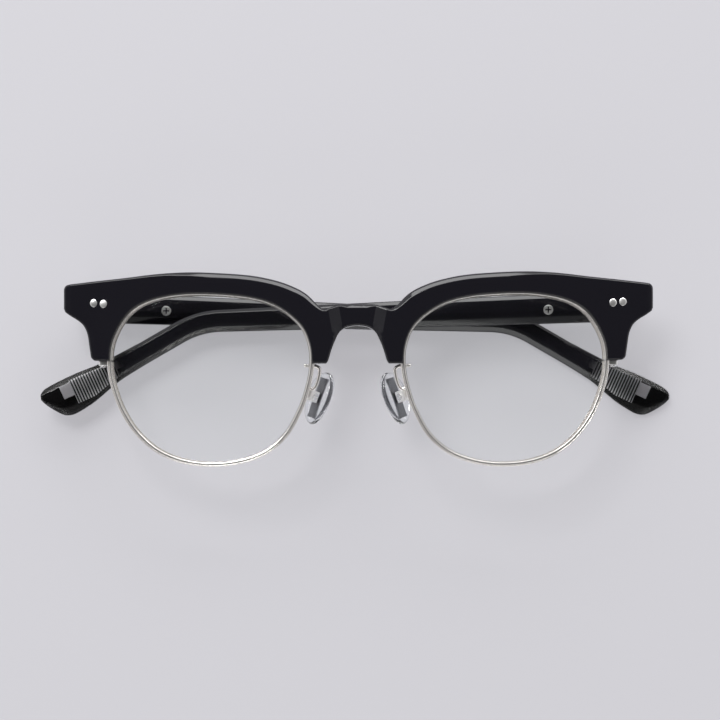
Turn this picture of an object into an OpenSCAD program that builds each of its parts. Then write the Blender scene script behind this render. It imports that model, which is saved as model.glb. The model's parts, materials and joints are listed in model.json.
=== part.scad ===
/* [Lenses] */
// Width of a lens
lens_w = 49.2; // [40:0.2:60]
// Height of a lens
lens_h = 41.5; // [33:0.5:50]
// Distance between the lenses at the nose
bridge_w = 21.8; // [16:0.2:28]
// Height of the lens centres over the middle of the front
eye_y = -0.3; // [-3:0.1:3]
// Thickness of a lens
lens_t = 1.6; // [1.2:0.1:2.2]
// Radius of the lens curve
lens_r = 130; // [90:5:200]
// Sideways shift of the lens curve's centre, which turns each lens outwards
lens_lean = 8.2; // [4:0.2:14]

/* [Metal rims] */
// Metal behind the lens groove
rim_wall = 0.45; // [0.3:0.05:0.8]
// Depth of the lens groove
groove_depth = 0.65; // [0.5:0.05:1]
// Gap between a lens and the bottom of its groove
lens_play = 0.2; // [0.15:0.05:0.3]
// Depth of a rim from front to back
rim_depth = 2.2; // [2:0.1:3.2]
// Width of the saw cut that lets a lens in
rim_cut = 0.25; // [0.15:0.05:0.5]
// Radius of the rim lock screw
lock_screw_r = 0.45; // [0.3:0.05:0.6]

/* [Brow] */
// Thickness of the brow
brow_t = 4.6; // [3.8:0.1:6]
// Height of the brow over the lens
brow_rise = 4.95; // [3.5:0.05:8]
// Reach of an end piece beyond its lens
end_w = 11.1; // [10:0.1:14]
// Bend radius of the whole front
front_r = 560; // [350:10:1200]
// How far the brow's lip covers the rim
lip_lap = 0.35; // [0.1:0.05:0.4]
// Width of the bevel along the top edge
bevel_w = 1.4; // [0.5:0.1:2.4]
// Depth of the bevel along the top edge
bevel_d = 0.9; // [0.3:0.1:1.6]
// How far a rim lies behind the middle of the brow
rim_set_back = 0.1; // [0:0.05:0.5]
// Radius of a brow screw
brow_screw_r = 0.5; // [0.35:0.05:0.7]

/* [Hinges] */
// Distance from the pin to the end piece and to the folded temple
hinge_gap = 2.8; // [2.4:0.1:3.6]
// Height of the hinge's middle on the front
hinge_y = 17.4; // [15:0.1:19]
// Radius of a knuckle
knuckle_r = 1.3; // [1.1:0.05:1.6]
// Height of one of the five knuckles
knuckle_h = 1.36; // [1.1:0.02:1.6]
// Radius of the hinge screw
screw_r = 0.7; // [0.5:0.05:0.8]
// Thickness of the front leaf
leaf_t = 0.85; // [0.6:0.05:1.1]
// Angle between an open temple and the front
open_angle = 95; // [88:1:100]
// Radius of a rivet head on the front
rivet_head_r = 0.98; // [0.7:0.02:1.2]
// Radius of a rivet's shank
rivet_r = 0.6; // [0.4:0.05:0.65]

/* [Temples] */
// Length of a temple along its middle, from the pin to the tip
temple_len = 147.6; // [125:0.2:180]
// Distance from the pin to the ear bend
bend_at = 98.4; // [80:0.2:120]
// Radius of the ear bend
bend_r = 22; // [16:1:40]
// Slope of the straight part
side_drop = 2; // [0:0.5:6]
// Slope of the part behind the ear
tip_drop = 30; // [15:1:40]
// Height of a temple at its hinge
temple_h = 7.5; // [6:0.1:9]
// Thickness of a temple at its hinge
temple_t = 3.6; // [3.2:0.1:4.6]
// Thickness of a temple at its tip
tip_t = 2.8; // [2.6:0.1:3.6]
// Height of the flat core wire
core_h = 2; // [1.2:0.1:2.4]
// Thickness of the flat core wire
core_t = 1; // [0.6:0.1:1.3]
// Distance from the pin to the core wire's bend
core_bend_at = 96.2; // [78:0.2:118]
// Slope of the core wire behind the ear
core_drop = 24.4; // [12:0.2:36]
// Length of the ribbed end of the core wire
rib_len = 12; // [8:1:26]
// Distance between the ribs of the core wire
rib_pitch = 0.7; // [0.5:0.1:1.5]
// Gap between the folded temples where they cross
fold_gap = 0.3; // [0.2:0.05:1]

/* [Nose pads] */
// Length of a nose pad
pad_l = 13.2; // [10:0.2:17]
// Width of a nose pad
pad_w = 7.6; // [6:0.2:9]
// Thickness of a nose pad
pad_t = 2.2; // [1.8:0.1:3.2]
// Slope of a pad down and out from the nose
pad_tilt = 19.5; // [10:0.5:28]
// Turn of a pad's face towards the nose
pad_splay = 45; // [30:1:60]
// Distance of the pad screw below the lens centres
pad_low = 4.1; // [2:0.1:8]
// Distance of the pad screw from the lens edge towards the nose
pad_in = 0; // [-1:0.1:2]
// Distance of the pad screw behind the rim
pad_back = 3; // [2.8:0.1:5]
// Largest tilt of a pad to either side
pad_swing = 8; // [3:1:8]
// Radius of the pad arm wire
arm_r = 0.45; // [0.35:0.05:0.55]
// Radius of the pad screw
pad_screw_r = 0.4; // [0.3:0.05:0.5]

/* [Hidden] */
$fn = 48;
// Clearance of fixed pieces, of the turning hinge and pads, and of hidden pockets
seat = 0.02;
running = 0.03;
pocket = 0.08;
// Steps of a curve between two drawn points
rim_steps = 3;
edge_steps = 3;

// The outlines were drawn on lenses with these edges, and stretch with them
drawn_nose = 10.9;
drawn_side = 60.1;
drawn_end = 71.2;
drawn_top = 20.45;
drawn_rise = 4.95;
nose_x = bridge_w / 2;
side_x = nose_x + lens_w;
end_x = side_x + end_w;
eye_x = nose_x + lens_w / 2;
top_y = eye_y + lens_h / 2;

function fit_x(x) =
    x < drawn_nose ? x * nose_x / drawn_nose
    : x < drawn_side ? nose_x + (x - drawn_nose) * lens_w / (drawn_side - drawn_nose)
    : side_x + (x - drawn_side) * end_w / (drawn_end - drawn_side);
function fit_y(y) =
    y > drawn_top ? top_y + (y - drawn_top) * brow_rise / drawn_rise
    : y * top_y / drawn_top;
function fit(p) = [fit_x(p[0]), fit_y(p[1])];

// A smooth curve through drawn points
function between(a, b, c, d, t) =
    0.5 * (2 * b + (c - a) * t + (2 * a - 5 * b + 4 * c - d) * t * t
           + (3 * b - 3 * c + d - a) * t * t * t);
function closed_curve(p, n) = let (m = len(p))
    [for (i = [0:m - 1], k = [0:n - 1])
        between(p[(i + m - 1) % m], p[i], p[(i + 1) % m], p[(i + 2) % m], k / n)];
function open_curve(p, n) = let (m = len(p) - 1)
    [for (i = [0:m - 1], k = [0:n - 1])
        between(p[max(i - 1, 0)], p[i], p[i + 1], p[min(i + 2, m)], k / n), p[m]];
function unit(v) = v / norm(v);
function left_of(a, b) = unit([a[1] - b[1], b[0] - a[0]]);
function grown(line, d) = let (m = len(line))
    [for (i = [0:m - 1]) line[i] - d * left_of(line[(i + m - 1) % m], line[(i + 1) % m])];

// Lens outline, in shares of half its width and height, from the temple side over the top
eye_shape = [
    [1, 0.155], [0.98, 0.438], [0.846, 0.734], [0.651, 0.903], [0.355, 0.988], [0.016, 1],
    [-0.363, 0.962], [-0.651, 0.861], [-0.886, 0.649], [-0.986, 0.405], [-1, 0.132],
    [-0.954, -0.141], [-0.882, -0.376], [-0.75, -0.649], [-0.547, -0.856],
    [-0.279, -0.969], [0, -1], [0.279, -0.958], [0.519, -0.842], [0.723, -0.635],
    [0.87, -0.376], [0.962, -0.094]
];
function eye_point(p) = [eye_x + p[0] * lens_w / 2, eye_y + p[1] * lens_h / 2];
lens_line = closed_curve([for (p = eye_shape) eye_point(p)], rim_steps);
rim_line = grown(lens_line, rim_wall);
lock_at = eye_point(eye_shape[0]) + [rim_wall, 0];
side_lug_at = eye_point(eye_shape[1]) + [rim_wall, 0];
nose_lug_at = eye_point(eye_shape[9]) - [rim_wall, 0];

// Height of the front: its seat for the hinges is 0, and it rises to the middle
pin_x = end_x - temple_t - hinge_gap;
function sag(x) = front_r - sqrt(front_r * front_r - x * x);
seat_in = pin_x - 6;
mid_z = sag(seat_in) + brow_t / 2;
function brow_z(x) = mid_z - sag(x);
function face_z(x) = brow_z(x) + brow_t / 2;

// Each lens and its rim follow one ball
ball_x = eye_x - lens_lean;
function ball_rise(x, y) = sqrt(lens_r * lens_r - pow(x - ball_x, 2) - pow(y - eye_y, 2));
ball_z = brow_z(eye_x) - rim_set_back - ball_rise(eye_x, top_y);
function rim_z(x, y) = ball_z + ball_rise(x, y);
rim_half = rim_depth / 2;

// Hinges and the fold
pin_y = fit_y(hinge_y);
temple_y = 0.2;
leaf_half = 2.5 * knuckle_h;
function temple_thick(s) = temple_t + (tip_t - temple_t) * min(max(s, 0), temple_len) / temple_len;
// The ear bend ends before the tip's own shape begins
tip_from = 28;
bend_len = bend_r * (tip_drop - side_drop) * PI / 180;
ear_at = min(bend_at, temple_len - tip_from - bend_len - 3);
core_at = min(core_bend_at, ear_at - 2.2);
cross_far = ear_at + 6.6;
cross_near = max(2 * pin_x - cross_far, 1);
cross_all = pow(cross_far, 2) - pow(cross_near, 2);
far_need = temple_thick(cross_near) + fold_gap;
near_need = temple_thick(cross_far) + fold_gap;
inner_fold = asin((cross_far * far_need - cross_near * near_need) / cross_all);
outer_fold = asin((cross_far * near_need - cross_near * far_need) / cross_all);
outer_z = -hinge_gap - temple_t;
front_z = pin_x * sin(outer_fold) + hinge_gap * cos(outer_fold) - outer_z;
// The origin is on the table, on the outer temple's face, under the middle of the bridge
rest_y = pin_y + temple_y - pin_x * tan(side_drop);

// Way along the middle of a temple, with one bend: position and slope
function way(s, at, r, drop) = let (turned = r * (drop - side_drop) * PI / 180)
    s < at ? [s * cos(side_drop), -s * sin(side_drop), side_drop]
    : s < at + turned ? let (a = side_drop + (s - at) / r * 180 / PI)
        [at * cos(side_drop) + r * (sin(a) - sin(side_drop)),
         -at * sin(side_drop) - r * (cos(side_drop) - cos(a)), a]
    : let (b = way(at + turned - 0.0001, at, r, drop), rest = s - at - turned)
        [b[0] + rest * cos(drop), b[1] - rest * sin(drop), drop];
function temple_way(s) = way(s, ear_at, bend_r, tip_drop);

// Half heights of a temple over and under its middle line, from the hinge to the bend
side_up = [[0, 0.5], [25, 0.475], [55, 0.435], [85, 0.38], [98, 0.36], [106, 0.355]];
// The same behind the ear, in millimetres, by the distance left to the tip
tip_up = [
    [0, 2.95], [0.25, 3.6], [0.7, 4.05], [1.6, 4.45], [3, 4.6], [6, 4.5], [11, 4.05],
    [16, 3.3], [20, 3], [28, 2.7]
];
tip_low = [
    [0, 2.1], [0.25, 1.25], [0.7, 0.2], [1.6, -1.4], [2.6, -2.9], [3.6, -3.85], [5.5, -4.5],
    [9, -4.5], [12, -4.2], [18, -3.1], [22, -2.8], [28, -2.65]
];
function upper(s) = let (left = temple_len - s)
    left < tip_from ? lookup(left, tip_up)
    : temple_h * lookup(s * 98.4 / ear_at, side_up);
function lower(s) = let (left = temple_len - s)
    left < tip_from ? lookup(left, tip_low)
    : -temple_h * lookup(s * 98.4 / ear_at, side_up);

// A closed skin over rings of points that turn right-handed about their path
module loft(rings, closed = false) {
    n = len(rings[0]);
    m = len(rings);
    sides = [for (k = [0:m - (closed ? 1 : 2)], j = [0:n - 1])
        let (a = k * n + j, b = k * n + (j + 1) % n,
             c = (k + 1) % m * n + j, d = (k + 1) % m * n + (j + 1) % n)
        each [[a, d, b], [a, c, d]]];
    ends = closed ? [] : [[for (j = [0:n - 1]) j], [for (j = [n - 1:-1:0]) (m - 1) * n + j]];
    polyhedron([for (r = rings) each r], concat(sides, ends), convexity = 8);
}

// Places: the front leans on the folded temples, which lie on the table
module on_front() translate([0, -rest_y, front_z]) rotate([0, -outer_fold, 0]) children();
module right_side() on_front() mirror([1, 0, 0]) children();
module left_side() on_front() children();
function leaned(p) = [
    p[0] * cos(outer_fold) - p[2] * sin(outer_fold), p[1] - rest_y,
    p[0] * sin(outer_fold) + p[2] * cos(outer_fold) + front_z
];
module right_fold() translate(leaned([-pin_x, pin_y, -hinge_gap])) children();
module left_fold()
    translate(leaned([pin_x, pin_y, -hinge_gap]))
        rotate([0, inner_fold - outer_fold, 0]) mirror([1, 0, 0]) children();

// Brow outline, drawn for the wearer's left half from the middle of the bridge
brow_top = [
    [0, 17.6], [4, 17.5], [6.4, 16.8], [8.1, 16.35], [9.7, 17.5], [12, 19.8], [14.8, 21.5],
    [19.3, 23.2], [25.5, 24.5], [33, 25.15], [40.7, 25.4], [48.4, 25], [56, 24.15],
    [63, 23.45], [69.6, 22.75]
];
brow_corner = [[70.6, 22.45], [71.1, 21.8], [71.2, 20.9], [71.2, 16.8]];
brow_scallop = [
    [70.9, 16], [69.5, 15], [67.7, 13.9], [66.3, 12.6], [65.4, 10.6], [65, 8.2],
    [64.7, 6.2], [64.45, 4.9], [63.7, 4.2]
];
brow_nose = [
    [7.6, 3.3], [7.05, 4], [6.3, 6.4], [5.4, 8.8], [4.3, 10.9], [2.5, 12.1], [0, 12.5]
];
top_line = open_curve([for (p = brow_top) fit(p)], edge_steps);
scallop_line = open_curve([for (p = brow_scallop) fit(p)], edge_steps);
nose_line = open_curve([for (p = brow_nose) fit(p)], edge_steps);
half_brow = concat(
    top_line, [for (p = brow_corner) fit(p)], scallop_line,
    [fit([60, 4.1]), fit([10.9, 3.3])], nose_line
);

// A bevel to take off along an edge whose outside lies to the left of its direction
module edge_bevel(line, w, d) {
    m = len(line) - 1;
    loft([for (i = [0:m])
        let (out = left_of(line[max(i - 1, 0)], line[min(i + 1, m)]), p = line[i],
             z = face_z(min(abs(p[0]), end_x)), reach = 1.2,
             slope = d / w)
        [[p[0] + out[0] * reach, p[1] + out[1] * reach, z - d - reach * slope],
         [p[0] + out[0] * reach, p[1] + out[1] * reach, z + 2],
         [p[0] - out[0] * (w + reach), p[1] - out[1] * (w + reach), z + reach * slope]]]);
}

module bent_slab()
    rotate([90, 0, 0]) translate([0, mid_z - front_r, -60]) difference() {
        cylinder(r = front_r + brow_t / 2, h = 120, $fn = 360);
        translate([0, 0, -1]) cylinder(r = front_r - brow_t / 2, h = 122, $fn = 360);
    }

module rim_room()
    intersection() {
        translate([0, 0, -20]) linear_extrude(60) polygon(grown(rim_line, 0.2));
        translate([ball_x, eye_y, ball_z]) sphere(r = lens_r + rim_half + pocket, $fn = 180);
    }

// Lugs on the rim that a screw holds to the back of the brow
lug_t = 0.8;
lug_r = 1.25;
lug_reach = 1.9;
lug_hole = brow_screw_r + 0.04;
head_r = 2 * brow_screw_r;
head_t = 0.45;
function lug_top(p) = rim_z(p[0], p[1]) - rim_half + lug_t;
module lug(p, dir, grow = 0, down = 0)
    translate([p[0], p[1], lug_top(p) - lug_t - down])
        linear_extrude(lug_t + down + grow) {
            translate([dir * lug_reach, 0]) circle(r = lug_r + grow);
            translate([dir > 0 ? -0.4 : -lug_reach, -lug_r - grow])
                square([lug_reach + 0.4, 2 * (lug_r + grow)]);
        }
module brow_screw(p, dir, grow = 0)
    translate([p[0] + dir * lug_reach, p[1], lug_top(p) - lug_t]) {
        translate([0, 0, -0.1]) cylinder(r = brow_screw_r + grow, h = 2.7 + grow);
        translate([0, 0, -head_t - seat]) cylinder(r = head_r, h = head_t);
    }

// Rim lock: two lumps soldered to the rim, one each side of the saw cut
lock_w = 2.4;
lock_t = 1.8;
lock_low = 1.3;
lock_high = 2;
lock_out = 1.35;
module lock_lumps(grow = 0)
    translate([lock_at[0] - 0.3, lock_at[1] - lock_low - grow,
               rim_z(lock_at[0], lock_at[1]) - lock_t / 2 - grow])
        cube([lock_w + 0.3 + grow, lock_low + rim_cut + lock_high + 2 * grow,
              lock_t + 2 * grow]);
module lock_screw(grow = 0) {
    head = 0.55;
    translate([lock_at[0] + lock_out, lock_at[1] - lock_low, rim_z(lock_at[0], lock_at[1])])
        rotate([-90, 0, 0]) {
            cylinder(r = lock_screw_r + grow, h = lock_low + rim_cut + lock_high - 0.3 + grow);
            translate([0, 0, -grow]) cylinder(r = lock_screw_r * 1.7 + grow, h = head + grow);
        }
}

// Front leaf of the hinge, its rivets and its screw
rivet_spots = [[61.3, 17.9], [63.7, 18.1]];
rivet_head_t = 0.7;
function spot(i) = [pin_x + rivet_spots[i][0] - 64.8, pin_y + rivet_spots[i][1] - 17.4];
module rivet(i, grow = 0) {
    p = spot(i);
    translate([p[0], p[1], face_z(p[0])]) rotate([0, asin(p[0] / front_r), 0])
        translate([0, 0, -rivet_head_t - grow])
            cylinder(r = rivet_head_r + grow, h = rivet_head_t + 0.04 + 2 * grow);
    translate([p[0], p[1], -leaf_t])
        cylinder(r = rivet_r + grow, h = leaf_t + face_z(p[0]) - rivet_head_t + 0.1);
}
module pin_hole(r, from, to)
    translate([0, from, 0]) rotate([-90, 0, 0]) cylinder(r = r, h = to - from);
module knuckle(i, neck_to, gap) {
    from = -leaf_half + i * knuckle_h + gap;
    tall = knuckle_h - 2 * gap;
    translate([0, from, 0]) rotate([-90, 0, 0]) cylinder(r = knuckle_r, h = tall);
    translate([-0.85 * knuckle_r, from, min(0, neck_to)])
        cube([1.7 * knuckle_r, tall, abs(neck_to)]);
}
screw_head_t = 0.7;
screw_head_r = 1.1;

// Temple shape: height is shared out over a flat and three bevels of the inner face
module temple_body() {
    straight = [-4, 0, 14, 28, 42, 56, 70, 84, 94];
    ends = [28, 24, 20, 16, 13, 10.5, 8, 6, 4.6, 3.6, 2.6, 1.7, 1, 0.5, 0.2, 0];
    stations = concat(
        [for (s = straight) s * ear_at / 98.4],
        [for (k = [0:6]) ear_at + k / 6 * bend_len],
        [for (left = ends) temple_len - left]
    );
    edge = 0.6;
    loft([for (s = stations)
        let (w = temple_way(max(s, 0)), back = min(s, 0), a = w[2],
             up = upper(s), low = lower(s), tall = up - low, left = temple_len - s,
             thin = left < 1 ? 0.55 + 0.45 * sqrt(1 - pow(1 - left, 2)) : 1,
             t = temple_thick(s), mid = t / 2,
             soft = min(edge, tall / 6),
             face = [
                [low + soft, 0], [up - soft, 0], [up, edge], [up, t - 0.75],
                [up - 0.16 * tall, t], [low + 0.425 * tall, t], [low + 0.24 * tall, t - 0.35],
                [low, t - 1.4], [low, edge]
             ])
        [for (q = face) [
            w[0] + back + q[0] * sin(a),
            w[1] + temple_y + q[0] * cos(a),
            outer_z + mid + (q[1] - mid) * thin]]]);
}
// Everything beyond this plane would foul the end piece of an open temple
module root_cut()
    rotate([0, -open_angle, 0]) translate([-20, -20, hinge_gap - pocket])
        cube([40, 40, 20]);

// Temple leaf: a plate let into the inner face, with a tongue deeper in the temple
plate_len = 6.5;
plate_half = 2.7;
tongue_len = 21;
tongue_half = 1.5;
leaf_low = -hinge_gap - 1.5;
tongue_t = 0.8;
dot_at = 17.7;
dot_y = -0.65;
dot_r = 1.2;
dot_t = 0.5;
function inner_z(s) = outer_z + temple_thick(s);
module temple_plate(grow = 0) {
    translate([-4, -plate_half - grow, leaf_low - grow])
        cube([4 + plate_len + grow, 2 * (plate_half + grow),
              -hinge_gap - leaf_low - seat + (grow > 0 ? 1 : 0)]);
    translate([0, dot_y - tongue_half - grow, leaf_low - grow])
        cube([tongue_len + grow, 2 * (tongue_half + grow), tongue_t + 2 * grow]);
}
module dot_rivet(grow = 0) {
    translate([dot_at, dot_y, inner_z(dot_at) - dot_t - grow])
        cylinder(r = dot_r + grow, h = dot_t + 0.04 + 2 * grow);
    translate([dot_at, dot_y, leaf_low - 0.9 - grow])
        cylinder(r = rivet_r + grow, h = inner_z(dot_at) - dot_t - leaf_low + 0.9);
}

// Flat core wire: behind the bend it is wider and ribbed, and it ends in a plain tongue
core_from = 24;
core_left = 4.4;
core_r = 20;
core_z = outer_z + tip_t / 2 - core_t / 2;
core_turn = core_drop - side_drop;
core_bend = core_r * core_turn * PI / 180;
core_rest = temple_len - core_left - core_at - core_bend;
rib_h = 3.6;
rib_depth = 0.2;
tongue_l = 2.8;
tongue_h = 2.5;
rib_end = core_rest - tongue_l;
rib_n = floor(min(rib_len, rib_end - 1) / rib_pitch);
module ribbed_strip() {
    first = rib_end - rib_n * rib_pitch;
    side = [for (i = [0:rib_n - 1]) each [
        [first + i * rib_pitch, core_t - rib_depth],
        [first + (i + 0.5) * rib_pitch, core_t + rib_depth]
    ]];
    rotate([90, 0, 0]) linear_extrude(rib_h, center = true)
        polygon(concat([[rib_end, core_t - rib_depth], [rib_end, 0], [first, 0]], side));
}
module core_bar(grow = 0) {
    tall = core_h + 2 * grow;
    thick = core_t + 2 * grow;
    w = way(core_at, core_at, core_r, core_drop);
    e = way(core_at + core_bend, core_at, core_r, core_drop);
    translate([0, temple_y, core_z - grow]) {
        rotate([0, 0, -side_drop]) translate([core_from - grow, -tall / 2, 0])
            cube([core_at - core_from + grow, tall, thick]);
        translate([w[0] - core_r * sin(side_drop), w[1] - core_r * cos(side_drop), 0])
            rotate([0, 0, 90 - core_drop]) rotate_extrude(angle = core_turn, $fn = 120)
                translate([core_r - tall / 2, 0]) square([tall, thick]);
        translate([e[0], e[1], 0]) rotate([0, 0, -core_drop]) {
            translate([0, -tall / 2, 0]) cube([rib_end, tall, thick]);
            translate([rib_end - 0.1, -tongue_h / 2 - grow, 0])
                cube([tongue_l + 0.1 + grow, tongue_h + 2 * grow, thick]);
            if (grow > 0)
                translate([rib_end - rib_n * rib_pitch - grow, -rib_h / 2 - grow, 0])
                    cube([rib_n * rib_pitch + 2 * grow, rib_h + 2 * grow, thick + rib_depth]);
            else
                ribbed_strip();
        }
    }
}

// Nose pad and what holds it. The screw lies across the pad: the box of the arm is closed
// towards the front and open towards the pad, whose lug turns in it.
box_w = 1.7;
box_h = 2.4;
box_top = 1.5;
box_low = 1.1;
box_floor = 1.05;
lug_w = 0.8;
lug_end = 0.85;
pad_clear = 0.3;
pad_face = box_low + pad_clear;
pad_x = nose_x - pad_in;
pad_y = eye_y - pad_low;
pad_z = rim_z(nose_x, pad_y) - rim_half - pad_back;
module at_pad() translate([pad_x, pad_y, pad_z])
    rotate([0, 0, pad_tilt]) rotate([0, pad_splay, 0]) children();
function turned(p) = let (x = p[0] * cos(pad_splay) + p[2] * sin(pad_splay))
    [x * cos(pad_tilt) - p[1] * sin(pad_tilt), x * sin(pad_tilt) + p[1] * cos(pad_tilt),
     p[2] * cos(pad_splay) - p[0] * sin(pad_splay)];
function pad_place(p) = turned(p) + [pad_x, pad_y, pad_z];
module across(r, from, to)
    translate([from, 0, 0]) rotate([0, 90, 0]) cylinder(r = r, h = to - from);
module pad_body() {
    rows = [[0, 0.8], [0.13, 0.94], [0.38, 1], [0.68, 0.97], [0.88, 0.86], [1, 0.7]];
    around = 26;
    loft([for (i = [len(rows) - 1:-1:0]) let (r = rows[i]) [for (j = [0:around - 1])
        let (a = 360 * j / around, taper = 1 + 0.1 * sin(a), bow = 0.4 * pow(sin(a), 2))
        [0.15 + pad_w / 2 * r[1] * taper * cos(a), pad_l / 2 * r[1] * sin(a),
         -pad_face - bow - pad_t * r[0]]]]);
}
// The arm starts behind the rim on the lens side, loops round on the nose side and runs
// down to the closed end of the box
arm_top = rim_z(nose_x, eye_y + 3) - rim_half - arm_r - 0.03;
arm_bend = [
    [2, 3.2], [0.6, 3.1], [-0.8, 3.05], [-1.75, 2.4], [-1.7, 1.1], [-1.35, -0.4],
    [-0.85, -1.7], [-0.1, -2.5]
];
arm_fall = [0, 0, 0.04, 0.16, 0.36, 0.6, 0.85, 1.02];
arm_foot = [pad_place([0, 1.5, box_top + arm_r - 0.07]), pad_place([0, 0.2, box_top + arm_r - 0.07]),
            pad_place([0, -0.7, box_top + arm_r - 0.07])];
arm_line = open_curve(concat(
    [for (i = [0:len(arm_bend) - 1]) let (q = arm_bend[i])
        [nose_x + q[0], eye_y + q[1],
         arm_top + arm_fall[i] * (arm_foot[0][2] - arm_top)]],
    arm_foot), 3);
module wire(line, r, n = 10) {
    m = len(line) - 1;
    loft([for (i = [0:m])
        let (t = unit(line[min(i + 1, m)] - line[max(i - 1, 0)]),
             u = unit(cross(t, [0, 0, 1])), v = cross(t, u))
        [for (j = [0:n - 1])
            line[i] + r * (cos(360 * j / n) * u + sin(360 * j / n) * v)]]);
}

// The sub-parts
module brow_front() color([0.04, 0.04, 0.05]) on_front() difference() {
    intersection() {
        linear_extrude(40, center = true) union() {
            difference() {
                polygon(half_brow);
                polygon(grown(lens_line, rim_wall - lip_lap));
            }
            mirror([1, 0]) difference() {
                polygon(half_brow);
                polygon(grown(lens_line, rim_wall - lip_lap));
            }
        }
        bent_slab();
    }
    for (side = [0, 1]) mirror([side, 0, 0]) {
        edge_bevel([for (i = [12:len(top_line) - 1]) top_line[i]], bevel_w, bevel_d);
        rim_room();
        translate([seat_in - 3, -30, -10]) cube([20, 60, 10]);
        lug(side_lug_at, 1, pocket, 3);
        lug(nose_lug_at, -1, pocket, 3);
        brow_screw(side_lug_at, 1, 0.02);
        brow_screw(nose_lug_at, -1, 0.02);
        translate([0, 0, -3]) lock_lumps(pocket);
        lock_lumps(pocket);
        rivet(0, seat);
        rivet(1, seat);
    }
}

module eyewire() difference() {
    union() {
        difference() {
            loft([for (i = [0:len(lens_line) - 1])
                let (m = len(lens_line), p = lens_line[i], z = rim_z(p[0], p[1]),
                     a = lens_line[(i + m - 1) % m], b = lens_line[(i + 1) % m],
                     up = unit([p[0] - ball_x, p[1] - eye_y, ball_rise(p[0], p[1])]),
                     along = unit([b[0] - a[0], b[1] - a[1],
                                   rim_z(b[0], b[1]) - rim_z(a[0], a[1])]),
                     out = cross(along, up), g = lens_t / 2 + pocket, q = groove_depth)
                [for (s = [[rim_wall, -0.6], [rim_wall - 0.3, -rim_half], [0.15 - q, -rim_half],
                           [-q, 0.15 - rim_half], [-q, -g], [pocket, -g], [pocket, g], [-q, g],
                           [-q, rim_half - 0.15], [0.15 - q, rim_half],
                           [rim_wall - 0.3, rim_half], [rim_wall, 0.6]])
                    [p[0], p[1], z] + s[0] * out + s[1] * up]], closed = true);
        }
        lug(side_lug_at, 1);
        lug(nose_lug_at, -1);
        lock_lumps();
    }
    translate([lock_at[0] - 3, lock_at[1], -20]) cube([3 + lock_w + 1, rim_cut, 60]);
    lock_screw(seat);
    for (s = [[side_lug_at, 1], [nose_lug_at, -1]])
        translate([s[0][0] + s[1] * lug_reach, s[0][1], -20]) cylinder(r = lug_hole, h = 60);
}
module right_eyewire() color([0.78, 0.76, 0.73]) right_side() eyewire();
module left_eyewire() color([0.78, 0.76, 0.73]) left_side() eyewire();

module lens() intersection() {
    translate([0, 0, -20]) linear_extrude(60) polygon(grown(lens_line, -lens_play));
    translate([ball_x, eye_y, ball_z]) difference() {
        sphere(r = lens_r + lens_t / 2, $fn = 180);
        sphere(r = lens_r - lens_t / 2, $fn = 180);
    }
}
module right_lens() color([0.85, 0.9, 0.92, 0.4]) right_side() lens();
module left_lens() color([0.85, 0.9, 0.92, 0.4]) left_side() lens();

module right_lock_screw() color([0.7, 0.7, 0.7]) right_side() lock_screw();
module left_lock_screw() color([0.7, 0.7, 0.7]) left_side() lock_screw();

module brow_screws() {
    brow_screw(side_lug_at, 1);
    brow_screw(nose_lug_at, -1);
}
module right_brow_screws() color([0.7, 0.7, 0.7]) right_side() brow_screws();
module left_brow_screws() color([0.7, 0.7, 0.7]) left_side() brow_screws();

module front_leaf() difference() {
    union() {
        translate([seat_in, pin_y - leaf_half, -leaf_t])
            cube([7.4, 2 * leaf_half, leaf_t - seat]);
        translate([pin_x, pin_y, -hinge_gap])
            for (i = [0, 2, 4]) knuckle(i, hinge_gap - leaf_t / 2, i == 2 ? 0.04 : 0);
    }
    translate([pin_x, pin_y, -hinge_gap]) pin_hole(screw_r + 0.01, -10, 10);
    for (i = [0, 1]) rivet(i, seat);
}
module right_front_leaf() color([0.75, 0.74, 0.72]) right_side() front_leaf();
module left_front_leaf() color([0.75, 0.74, 0.72]) left_side() front_leaf();

module front_rivets() for (i = [0, 1]) rivet(i);
module right_front_rivets() color([0.82, 0.8, 0.78]) right_side() front_rivets();
module left_front_rivets() color([0.82, 0.8, 0.78]) left_side() front_rivets();

module hinge_screw() translate([pin_x, pin_y, -hinge_gap]) {
    pin_hole(screw_r, -leaf_half, leaf_half + 0.1);
    pin_hole(screw_head_r, leaf_half + seat, leaf_half + screw_head_t);
}
module right_hinge_screw() color([0.7, 0.7, 0.7]) right_side() hinge_screw();
module left_hinge_screw() color([0.7, 0.7, 0.7]) left_side() hinge_screw();

module temple() difference() {
    temple_body();
    root_cut();
    temple_plate(pocket);
    dot_rivet(seat);
    core_bar(pocket);
}
module right_temple() color([0.05, 0.05, 0.06]) right_fold() temple();
module left_temple() color([0.05, 0.05, 0.06]) left_fold() temple();

module temple_leaf() difference() {
    union() {
        difference() {
            temple_plate();
            root_cut();
        }
        for (i = [1, 3]) knuckle(i, leaf_low + 0.5, 0.04);
    }
    pin_hole(screw_r + running, -10, 10);
    dot_rivet(seat);
}
module right_temple_leaf() color([0.75, 0.74, 0.72]) right_fold() temple_leaf();
module left_temple_leaf() color([0.75, 0.74, 0.72]) left_fold() temple_leaf();

module right_temple_rivet() color([0.82, 0.8, 0.78]) right_fold() dot_rivet();
module left_temple_rivet() color([0.82, 0.8, 0.78]) left_fold() dot_rivet();

module right_core_wire() color([0.6, 0.6, 0.6]) right_fold() core_bar();
module left_core_wire() color([0.6, 0.6, 0.6]) left_fold() core_bar();

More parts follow.
